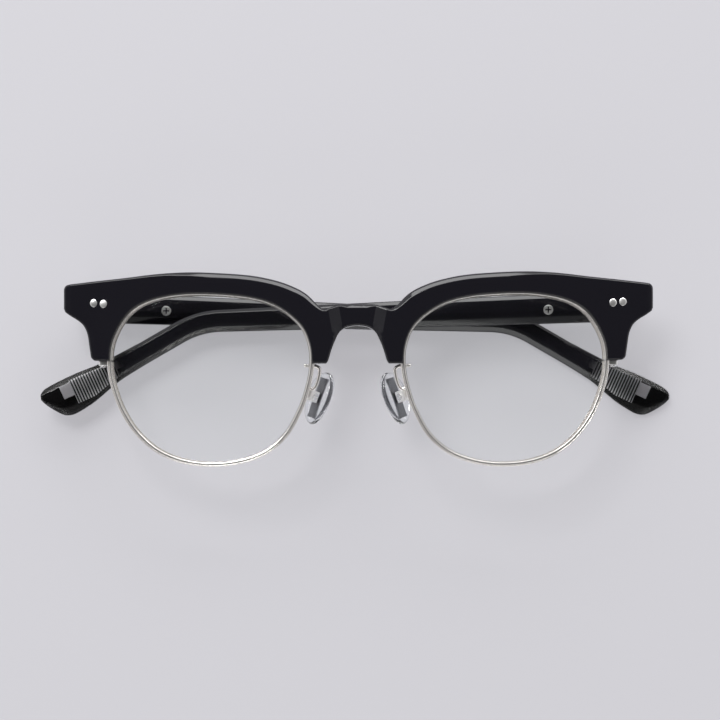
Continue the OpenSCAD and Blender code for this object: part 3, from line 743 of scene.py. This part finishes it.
def temple_way(s):
    return bent_way(s, BEND_AT, BEND_R, TIP_DROP)


def temple_thick(s):
    return TEMPLE_T + (TIP_T - TEMPLE_T) * s / TEMPLE_LEN


def temple_section(low, up, t):
    """A temple's section as (across, height over the outer face)."""
    tall = up - low
    soft = min(OUTER_SOFT, tall / 6)
    corners = [(low + soft, 0), (up - soft, 0), (up, OUTER_SOFT), (up, t - UPPER_BEVEL[1])]
    corners += [(up - UPPER_BEVEL[0] * tall, t)]
    corners += [(low + share * tall, t - deep) for share, deep in LOWER_BEVEL]
    return rounded(corners + [(low, OUTER_SOFT)], TEMPLE_ROUND)


def make_temple(side):
    """A temple with a flat outer face, a bevelled inner face and a paddle tip. Each point of the inner
    side keeps its distance from the tip for the colour, and the outer side has a long one."""
    up_curve = open_curve(TIP_UP, 4)
    low_curve = open_curve(TIP_LOW, 4)
    tip_lefts = sorted({round(point[0], 3) for point in low_curve + up_curve}, reverse=True)
    bend_steps = [BEND_AT + k / 12 * BEND_LEN for k in range(-3, 13)]
    stations = [s for s in SIDE_STEPS + bend_steps if s < TEMPLE_LEN - SIDE_END]
    stations += [TEMPLE_LEN - left - TIP_IN for left in BEFORE_TIP + tip_lefts]
    rings = []
    distances = []
    for s in stations:
        x, y, a = temple_way(max(s, 0))
        left = TEMPLE_LEN - s - TIP_IN
        up = lookup(left, up_curve) if left < TIP_FROM else TEMPLE_H * lookup(s, SIDE_SHARE)
        low = lookup(left, low_curve) if left < TIP_FROM else -up
        thin = TIP_THIN + (1 - TIP_THIN) * sqrt(1 - (1 - left) ** 2) if left < 1 else 1
        t = temple_thick(max(s, 0))
        section = temple_section(low, up, t)
        ring = []
        for q, z in section:
            px = x + min(s, 0) + q * sin(a)
            pz = OUTER_Z + t / 2 + (z - t / 2) * thin
            limit = -(ROOT_GAP - pz * cos(ROOT_ANGLE)) / sin(ROOT_ANGLE)
            ring.append((max(px, limit), y + TEMPLE_Y + q * cos(a), pz))
        rings.append(ring)
        distances += [left if z > INNER_FROM else FAR for q, z in section]
    piece = add_mesh(side + "_temple_arm", *loft(rings), TEMPLES[side])
    keep_values(piece, "left", distances)
    outline = rounded(rectangle(*POCKET_X, -POCKET_HALF, POCKET_HALF), POCKET_ROUND)
    pocket = slab(outline, -HINGE_GAP - POCKET_DEEP, 1, POCKET_EDGE)
    cut_away(piece, add_mesh("pocket", *pocket, TEMPLES[side]))
    sharpen(piece)
    return piece


def make_dot(side):
    """The rivet in a temple's inner face, with its cross recess."""
    x, y = DOT_AT
    high = OUTER_Z + temple_thick(x) + DOT_PROUD
    body = slab(ring_of(x, y, DOT_R, 48), high - DOT_T, high, 0.1)
    piece = add_mesh(side + "_dot_rivet", *body, TEMPLES[side])
    for wide, tall in ((CROSS_LONG, CROSS_THIN), (CROSS_THIN, CROSS_LONG)):
        bar = slab(rectangle(x - wide, x + wide, y - tall, y + tall), high - CROSS_DEEP, high + 1, TOOL_EDGE)
        cut_away(piece, add_mesh("bar", *bar, TEMPLES[side]))
    sharpen(piece)
    return piece


# A rivet head's dome as (share of its radius, share of its rise), over a shank that starts in the brow
DOME = [
    (1, 0), (0.97, 0.14), (0.9, 0.36), (0.78, 0.6), (0.6, 0.8), (0.4, 0.92), (0.2, 0.98), (0.05, 1),
]


def make_front_rivets(side):
    """The two domed rivets of an end piece, with their shanks."""
    parts = []
    for x, y in RIVETS_AT:
        face = brow_z(x) + BROW_T / 2 - RIVET_SUNK
        levels = [(RIVET_HEAD_R, face - RIVET_HEAD_DEEP)]
        levels += [(RIVET_HEAD_R * share, face + rise * RIVET_RISE) for share, rise in DOME]
        parts.append(loft([[(px, py, z) for px, py in ring_of(x, y, r, 40)] for r, z in levels]))
        ends = (RIVET_LOW, brow_z(x) + RIVET_HIGH)
        parts.append(loft([[(px, py, z) for px, py in ring_of(x, y, RIVET_R, 24)] for z in ends]))
    return add_mesh(side + "_dome_rivets", *merged(parts), FRONTS[side], sharp_deg=50)


def make_core(side):
    """The flat metal core of a temple: its end is wider and ribbed across, and stops in a plain tongue.
    It keeps inside the temple's tip."""
    rings = []
    painted_groove_shade = []
    rib_end = TEMPLE_LEN - TONGUE_AT
    rib_start = rib_end - RIB_N * RIB_PITCH
    stations = [CORE_FROM + 2.4 * k for k in range(31)]
    stations += [CORE_BEND_AT + CORE_BEND_LEN * k / 10 for k in range(11)]
    stations += [rib_start - 3, rib_start - 0.15]
    stations += [rib_start + RIB_PITCH * (k + part) for k in range(RIB_N) for part in RIB_PARTS]
    stations += [rib_end + step for step in TONGUE_STEPS]
    for s in stations:
        x, y, a = bent_way(s, CORE_BEND_AT, CORE_R, CORE_DROP)
        ribbed = rib_start <= s < rib_end
        down, up = RIB_SPAN if ribbed else CORE_SPAN if s < rib_end else TONGUE_SPAN
        mx, my, ma = temple_way(s)
        off = (x - mx) * sin(ma) + (y - my) * cos(ma)
        if TEMPLE_LEN - s < TIP_FROM:
            down = max(down, lookup(TEMPLE_LEN - s, TIP_LOW) + CORE_ROOM[0] - off)
            up = min(up, lookup(TEMPLE_LEN - s, TIP_UP) - CORE_ROOM[1] - off)
        part = (s - rib_start) / RIB_PITCH % 1
        in_groove = ribbed and abs(part - 0.5) < GROOVE_HALF
        high = CORE_LOW + CORE_T - (RIB_DEPTH if in_groove else 0)
        section = rounded(rectangle(down, up, CORE_LOW, high), 0.08, 2)
        rings.append([(x + q * sin(a), y + TEMPLE_Y + q * cos(a), z) for q, z in section])
        # Points in the grooves are marked for the core's painted shade
        painted_groove_shade += [1 if in_groove else 0] * len(section)
    piece = add_mesh(side + "_metal_core", *loft(rings), TEMPLES[side], sharp_deg=40)
    keep_values(piece, "groove", painted_groove_shade)
    return piece


# Nose pads and their arms
PAD_Z = rim_z(*PAD_AT) - RIM_HALF - PAD_BACK
AT_PAD = (Matrix.Translation((PAD_AT[0], PAD_AT[1], PAD_Z)) @ Matrix.Rotation(PAD_TILT, 4, "Z")
          @ Matrix.Rotation(PAD_SPLAY, 4, "Y"))
# Size of a pad's rings by the share of its thickness, from the arm side to the nose side
PAD_ROWS = [
    (0, 0.08), (0, 0.3), (0, 0.55), (0, 0.74), (0.02, 0.82), (0.06, 0.88), (0.13, 0.94),
    (0.24, 0.98), (0.38, 1), (0.54, 0.995), (0.68, 0.97), (0.8, 0.915), (0.88, 0.85), (0.94, 0.77),
    (0.98, 0.65), (0.995, 0.5), (1, 0.3), (1, 0.08),
]
# Wire from the rim, beside the lens's nose side, and the share of its way down to the pad box
ARM_BEND = [
    (2, 3.2), (0.6, 3.1), (-0.8, 3.05), (-1.75, 2.4), (-1.7, 1.1), (-1.35, -0.4), (-0.85, -1.7),
    (-0.1, -2.5),
]
ARM_FALL = [0, 0, 0.04, 0.16, 0.36, 0.6, 0.85, 1.02]
# Pad box across: two jaws with the slot for the pad's tab between them, under a roof
BOX_SECTION = [
    (-1.1, -1.1), (-0.46, -1.1), (-0.46, 1.05), (0.46, 1.05), (0.46, -1.1), (1.1, -1.1), (1.1, 1.55),
    (-1.1, 1.55),
]
BOX_HALF = 1.4
BOX_ROUND = 0.16
BOX_EDGE = 0.14


def make_pad(side):
    """A clear pad: an oval that is wider above and bows back at its ends."""
    rings = []
    for depth, size in PAD_ROWS:
        ring = []
        for k in range(64):
            a = 2 * pi * k / 64
            x = PAD_ASIDE + PAD_W / 2 * size * (1 + PAD_PEAR * sin(a)) * cos(a)
            y = PAD_L / 2 * size * sin(a)
            ring.append((x, y, -PAD_FACE - PAD_BOW * (size * sin(a)) ** 2 - PAD_T * depth))
        rings.append(ring)
    return add_mesh(side + "_clear_pad", *loft(rings), FRONTS[side] @ AT_PAD, sharp_deg=60)


def make_arm(side):
    """The bent wire from the rim to the pad box."""
    nose_x = EYE[0] - LENS_W / 2
    top = rim_z(nose_x, EYE[1] + ARM_ROOT_Y) - RIM_HALF - ARM_R - ARM_CLEAR
    foot = [AT_PAD @ Vector((0, y, ARM_OVER_BOX + ARM_R)) for y in ARM_FOOT]
    line = [(nose_x + x, EYE[1] + y, top + fall * (foot[0].z - top))
            for (x, y), fall in zip(ARM_BEND, ARM_FALL)]
    line = open_curve(line + [tuple(p) for p in foot], 8)
    m = len(line) - 1
    rings = []
    for i in range(m + 1):
        t = (Vector(line[min(i + 1, m)]) - Vector(line[max(i - 1, 0)])).normalized()
        u = t.cross(Vector((0, 0, 1))).normalized()
        v = t.cross(u)
        r = ARM_R * ARM_ENDS[min(i, m - i, len(ARM_ENDS) - 1)]
        rings.append([tuple(Vector(line[i]) + u * r * cos(2 * pi * k / 18) + v * r * sin(2 * pi * k / 18))
                      for k in range(18)])
    return add_mesh(side + "_arm_wire", *loft(rings), FRONTS[side], SHARP)


def make_pad_box(side):
    jaws = slab(rounded(BOX_SECTION, BOX_ROUND), -BOX_HALF, BOX_HALF, BOX_EDGE, upright)
    return add_mesh(side + "_pad_box", *jaws, FRONTS[side] @ AT_PAD, SHARP)


# Materials
def material(name, **values):
    """A material with one Principled shader, whose plain numbers and colours are set on its sockets."""
    made = bpy.data.materials.new(name)
    made.use_nodes = True
    shader = made.node_tree.nodes["Principled BSDF"]
    for socket, value in values.items():
        shader.inputs[socket.replace("_", " ")].default_value = value
    return made, made.node_tree, shader


def noise(tree, scale, detail=3.0, stretch=(1, 1, 1)):
    """A noise over the object's own coordinates, in metres."""
    place = tree.nodes.new("ShaderNodeTexCoord")
    mapping = tree.nodes.new("ShaderNodeMapping")
    mapping.inputs["Scale"].default_value = stretch
    texture = tree.nodes.new("ShaderNodeTexNoise")
    texture.inputs["Scale"].default_value = scale
    texture.inputs["Detail"].default_value = detail
    tree.links.new(place.outputs["Object"], mapping.inputs["Vector"])
    tree.links.new(mapping.outputs["Vector"], texture.inputs["Vector"])
    return texture.outputs["Fac"]


def spread(tree, value, low, high, start=0.3, end=0.7):
    """A value from start to end, spread over low to high."""
    node = tree.nodes.new("ShaderNodeMapRange")
    node.inputs["From Min"].default_value = start
    node.inputs["From Max"].default_value = end
    node.inputs["To Min"].default_value = low
    node.inputs["To Max"].default_value = high
    tree.links.new(value, node.inputs["Value"])
    return node.outputs["Result"]


def maths(tree, operation, first, second):
    node = tree.nodes.new("ShaderNodeMath")
    node.operation = operation
    tree.links.new(first, node.inputs[0])
    tree.links.new(second, node.inputs[1])
    return node.outputs["Value"]


def point_value(tree, name):
    """A number that a piece stores for each of its points."""
    node = tree.nodes.new("ShaderNodeAttribute")
    node.attribute_name = name
    return node.outputs["Fac"]


def bump(tree, shader, height, depth_mm):
    node = tree.nodes.new("ShaderNodeBump")
    node.inputs["Distance"].default_value = depth_mm * MM
    tree.links.new(height, node.inputs["Height"])
    tree.links.new(node.outputs["Normal"], shader.inputs["Normal"])


def see_through(tree, colour=(1, 1, 1, 1)):
    """A shader that lets light through without bending it."""
    node = tree.nodes.new("ShaderNodeBsdfTransparent")
    node.inputs["Color"].default_value = colour
    return node.outputs["BSDF"]


def show_mix(tree, share, first, second):
    """Puts a mix of two shaders on the surface: the first at a share of 0, the second at 1."""
    tree.links.new(mixed(tree, share, first, second), tree.nodes["Material Output"].inputs["Surface"])


def mixed(tree, share, first, second):
    mix = tree.nodes.new("ShaderNodeMixShader")
    tree.links.new(share, mix.inputs["Fac"])
    tree.links.new(first, mix.inputs[1])
    tree.links.new(second, mix.inputs[2])
    return mix.outputs["Shader"]


def outer_gloss(tree, ior):
    """The share of light that a surface mirrors, for rays that come from outside only."""
    fresnel = tree.nodes.new("ShaderNodeFresnel")
    fresnel.inputs["IOR"].default_value = ior
    geometry = tree.nodes.new("ShaderNodeNewGeometry")
    outside = spread(tree, geometry.outputs["Backfacing"], 1, 0, 0, 1)
    return maths(tree, "MULTIPLY", fresnel.outputs["Fac"], outside)


ACETATE_IOR = 1.48
# How dark the smoke is, and between which distances from the tip black turns into smoke
SMOKE_PER_MM = 0.46
SMOKE_SPAN = (18, 22)
SMOKE_GLOSS = 0.26
# A lens shows this little of its surroundings as if its coating had a low index
COATED_IOR = 1.12
METAL_MARKS_MM = 0.003


def acetate(name):
    """Polished black acetate: faint polishing haze and a barely wavy surface."""
    made, tree, shader = material(name, Base_Color=(0.009, 0.0085, 0.012, 1), IOR=ACETATE_IOR)
    haze = noise(tree, scale=90, detail=4)
    tree.links.new(spread(tree, haze, 0.05, 0.13), shader.inputs["Roughness"])
    bump(tree, shader, noise(tree, scale=260, detail=2), depth_mm=0.004)
    return made, tree, shader


def temple_acetate():
    """Black acetate that turns to dark smoke towards the tip, so that the metal core shows there."""
    made, tree, shader = acetate("temple_acetate")
    gloss = tree.nodes.new("ShaderNodeBsdfGlossy")
    gloss.inputs["Roughness"].default_value = SMOKE_GLOSS
    skin = mixed(tree, outer_gloss(tree, ACETATE_IOR), see_through(tree), gloss.outputs["BSDF"])
    smoky = spread(tree, point_value(tree, "left"), 1, 0, *SMOKE_SPAN)
    show_mix(tree, smoky, shader.outputs["BSDF"], skin)
    smoke = tree.nodes.new("ShaderNodeVolumeAbsorption")
    smoke.inputs["Color"].default_value = (0.1, 0.09, 0.12, 1)
    smoke.inputs["Density"].default_value = SMOKE_PER_MM / MM
    tree.links.new(smoke.outputs["Volume"], tree.nodes["Material Output"].inputs["Volume"])
    return made


def metal(name, colour, low, high, scale, stretch=(1, 1, 1), share=1.0):
    """Polished or drawn metal, with fine uneven gloss from low to high and hair-thin marks. A share
    under one is dull."""
    made, tree, shader = material(name, Base_Color=colour, Metallic=share)
    tree.links.new(spread(tree, noise(tree, scale, 4, stretch), low, high), shader.inputs["Roughness"])
    bump(tree, shader, noise(tree, scale * 3, 3, stretch), METAL_MARKS_MM)
    return made


def core_metal():
    """Dull nickel silver, with painted shade that colours the grooves between its ribs near black."""
    made, tree, shader = material("core_metal", Metallic=0.3)
    along = (0.4, 1, 1)
    gloss = spread(tree, noise(tree, 220, 4, along), 0.36, 0.5)
    tree.links.new(gloss, shader.inputs["Roughness"])
    tone = tree.nodes.new("ShaderNodeMix")
    tone.data_type = "RGBA"
    tone.inputs["A"].default_value = (0.95, 0.94, 0.96, 1)
    tone.inputs["B"].default_value = (0.05, 0.05, 0.06, 1)
    # Painted shade: the core's colour turns near black at the grooves' points
    tree.links.new(point_value(tree, "groove"), tone.inputs["Factor"])
    tree.links.new(tone.outputs["Result"], shader.inputs["Base Color"])
    bump(tree, shader, noise(tree, 660, 3, along), METAL_MARKS_MM)
    return made


def lens_glass():
    """A thin coated lens: light passes straight through and a faint gloss stays."""
    made, tree, shader = material("lens_glass")
    tree.nodes.remove(shader)
    sheen = tree.nodes.new("ShaderNodeBsdfGlossy")
    tree.links.new(spread(tree, noise(tree, scale=40), 0, 0.012), sheen.inputs["Roughness"])
    bump(tree, sheen, noise(tree, scale=160, detail=2), depth_mm=0.0003)
    clear = see_through(tree, (0.985, 0.99, 0.988, 1))
    show_mix(tree, outer_gloss(tree, COATED_IOR), clear, sheen.outputs["BSDF"])
    return made


def silicone():
    """Clear silicone that lets lamp light pass straight through."""
    made, tree, shader = material(
        "silicone", Base_Color=(0.95, 0.965, 0.975, 1), IOR=1.41, Transmission_Weight=1.0)
    tree.links.new(spread(tree, noise(tree, scale=160), 0.02, 0.09), shader.inputs["Roughness"])
    bump(tree, shader, noise(tree, scale=640, detail=2), depth_mm=0.004)
    path = tree.nodes.new("ShaderNodeLightPath")
    straight = maths(tree, "MAXIMUM", path.outputs["Is Shadow Ray"], path.outputs["Is Diffuse Ray"])
    clear = see_through(tree, (0.965, 0.9755, 0.9825, 1))
    show_mix(tree, straight, shader.outputs["BSDF"], clear)
    return made


BLACK = acetate("brow_acetate")[0]
SMOKE = temple_acetate()
RIM_METAL = metal("rim_metal", (0.98, 0.945, 0.92, 1), 0.12, 0.2, scale=140, share=0.85)
BRIGHT = metal("bright_rivet", (0.96, 0.95, 0.94, 1), 0.3, 0.44, scale=260)
STEEL = metal("screw_steel", (0.8, 0.8, 0.81, 1), 0.16, 0.3, scale=300, stretch=(1, 1, 0.2))
HINGE = metal("hinge_metal", (0.82, 0.8, 0.77, 1), 0.2, 0.34, scale=200, stretch=(0.3, 1, 1))
CORE = core_metal()
INSERT = metal("insert_metal", (0.22, 0.22, 0.24, 1), 0.3, 0.42, scale=300, stretch=(1, 1, 0.3))
GLASS = lens_glass()
SILICONE = silicone()
# Nodes that keep their shape, with the width of their broken edges in millimetres
KEPT_NODES = [
    ("_brow_screws", STEEL, 0.08), ("_hinge_screw", STEEL, 0.08), ("_pad_screw", STEEL, 0.04),
    ("_front_leaf", HINGE, 0.1), ("_temple_leaf", HINGE, 0.1), ("_pad_mount", INSERT, 0.06),
]


# Putting the pieces on their bodies
def place(piece, finish, body, slot, *nodes):
    """Gives a piece its finish, and puts it on its body in the place of the nodes it shows."""
    even = piece.modifiers.new("flats", "WEIGHTED_NORMAL")
    even.keep_sharp = True
    piece.data.materials.clear()
    piece.data.materials.append(finish)
    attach(piece, body)
    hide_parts(*nodes)


def finish_node(name, finish, edge):
    """A CAD node that keeps its shape: a new material and slightly broken edges."""
    node = frame["nodes"][name]
    if not node.material_slots:
        node.data.materials.append(finish)
    for material_slot in node.material_slots:
        material_slot.material = finish
    broken = node.modifiers.new("edge", "BEVEL")
    broken.width = edge * MM
    broken.segments = 2
    broken.limit_method = "ANGLE"
    broken.angle_limit = radians(40)
    broken.harden_normals = True


place(make_brow(), BLACK, "front", "black_acetate", "brow_front")
for side in SIDES:
    place(make_rim(side), RIM_METAL, "front", "rim_metal", side + "_eyewire")
    place(make_lock(side), BRIGHT, "front", "rim_metal", side + "_eyewire")
    place(make_lens(side), GLASS, "front", "clear_lens", side + "_lens")
    place(make_arm(side), RIM_METAL, "front", "rim_metal", side + "_pad_arm")
    place(make_pad_box(side), BRIGHT, "front", "rim_metal", side + "_pad_arm")
    place(make_temple(side), SMOKE, side + "_temple_arm", "black_acetate", side + "_temple")
    place(make_dot(side), BRIGHT, side + "_temple_arm", "rim_metal", side + "_temple_rivet")
    place(make_pad(side), SILICONE, side + "_pad", "clear_silicone", side + "_nose_pad")
    place(make_lock_screw(side), STEEL, "front", "screw_steel", side + "_lock_screw")
    place(make_front_rivets(side), BRIGHT, "front", "rim_metal", side + "_front_rivets")
    place(make_core(side), CORE, side + "_temple_arm", "core_metal", side + "_core_wire")
    for ending, finish, edge in KEPT_NODES:
        finish_node(side + ending, finish, edge)


# Floor: a pale sheet that takes the shadows. For the eye it is partly see-through, over an even backdrop
# of the same tone, so that a temple that swings below the sheet stays in sight
FLOOR_COLOUR = (0.66, 0.652, 0.69, 1)
FLOOR_CLEAR = 0.55
FLOOR_Z_MM = -0.02
BACKDROP_Z_MM = -400
SHEET_HALF_M = 3


def make_sheet(name, z_mm, finish):
    mesh = bpy.data.meshes.new(name)
    corners = rectangle(-SHEET_HALF_M, SHEET_HALF_M, -SHEET_HALF_M, SHEET_HALF_M)
    mesh.from_pydata([(x, y, z_mm * MM) for x, y in corners], [], [(0, 1, 2, 3)])
    mesh.materials.append(finish)
    sheet = bpy.data.objects.new(name, mesh)
    bpy.context.scene.collection.objects.link(sheet)


def floor_paper():
    """Matt paper that the camera, mirrors and glass look through in part."""
    made, tree, shader = material(
        "floor_paper", Base_Color=FLOOR_COLOUR, Roughness=0.85, Specular_IOR_Level=0.1)
    bump(tree, shader, noise(tree, scale=900, detail=2), depth_mm=0.01)
    path = tree.nodes.new("ShaderNodeLightPath")
    mirrored = maths(tree, "MAXIMUM", path.outputs["Is Glossy Ray"], path.outputs["Is Transmission Ray"])
    seen = maths(tree, "MAXIMUM", path.outputs["Is Camera Ray"], mirrored)
    show_mix(tree, spread(tree, seen, 0, FLOOR_CLEAR, 0, 1), shader.outputs["BSDF"], see_through(tree))
    return made


def backdrop_tone():
    """The floor's colour, without light or shadow."""
    made, tree, shader = material("backdrop_tone")
    tone = tree.nodes.new("ShaderNodeEmission")
    tone.inputs["Color"].default_value = FLOOR_COLOUR
    tree.links.new(tone.outputs["Emission"], tree.nodes["Material Output"].inputs["Surface"])
    tree.nodes.remove(shader)
    return made


make_sheet("floor", FLOOR_Z_MM, floor_paper())
make_sheet("backdrop", BACKDROP_Z_MM, backdrop_tone())


# Light: a pale room that is darker overhead and on the near side, and three soft boxes
SIDE_LIGHT = 1.0
TOP_LIGHT = 0.06
TOP_SPAN = (0.45, 0.9)
NEAR_SHARE = 0.5
NEAR_SPAN = (-0.5, 0.3)
LAMP_DISTANCE_M = 1.3


def make_world():
    world = bpy.data.worlds.new("studio")
    world.use_nodes = True
    tree = world.node_tree
    back = tree.nodes["Background"]
    place_node = tree.nodes.new("ShaderNodeTexCoord")
    split = tree.nodes.new("ShaderNodeSeparateXYZ")
    tree.links.new(place_node.outputs["Generated"], split.inputs["Vector"])
    by_height = spread(tree, split.outputs["Z"], SIDE_LIGHT, TOP_LIGHT, *TOP_SPAN)
    by_side = spread(tree, split.outputs["Y"], NEAR_SHARE, 1, *NEAR_SPAN)
    tree.links.new(maths(tree, "MULTIPLY", by_height, by_side), back.inputs["Strength"])
    back.inputs["Color"].default_value = (1, 1, 1, 1)
    bpy.context.scene.world = world


def soft_box(name, direction, size, power):
    """A lamp in a direction from the middle of the scene, turned towards it, with its size in metres."""
    lamp = bpy.data.lights.new(name, "AREA")
    lamp.shape = "RECTANGLE"
    lamp.size, lamp.size_y = size
    lamp.energy = power
    box = bpy.data.objects.new(name, lamp)
    box.location = Vector(direction).normalized() * LAMP_DISTANCE_M
    box.rotation_euler = Vector(direction).to_track_quat("Z", "Y").to_euler()
    bpy.context.scene.collection.objects.link(box)


make_world()
soft_box("key", (-0.4, 0.6, 0.8), (0.6, 0.5), power=9)
soft_box("back", (0.1, 1, 0.42), (1.6, 0.5), power=12)
soft_box("near", (0, -1, 0.36), (1.6, 0.36), power=3)


# Camera: straight above, as the photograph was taken
CAMERA_AT = (-16, -23.3, 444)
CAMERA_ROLL = radians(-0.07)
camera_data = bpy.data.cameras.new("camera")
camera_data.sensor_width = 36
camera_data.lens = 88.95
camera_data.shift_x = 0.0951
camera_data.shift_y = 0.0702
camera = bpy.data.objects.new("camera", camera_data)
camera.location = Vector(CAMERA_AT) * MM
camera.rotation_euler = (0, 0, CAMERA_ROLL)
bpy.context.scene.collection.objects.link(camera)
bpy.context.scene.camera = camera
bpy.context.scene.view_settings.view_transform = "Standard"
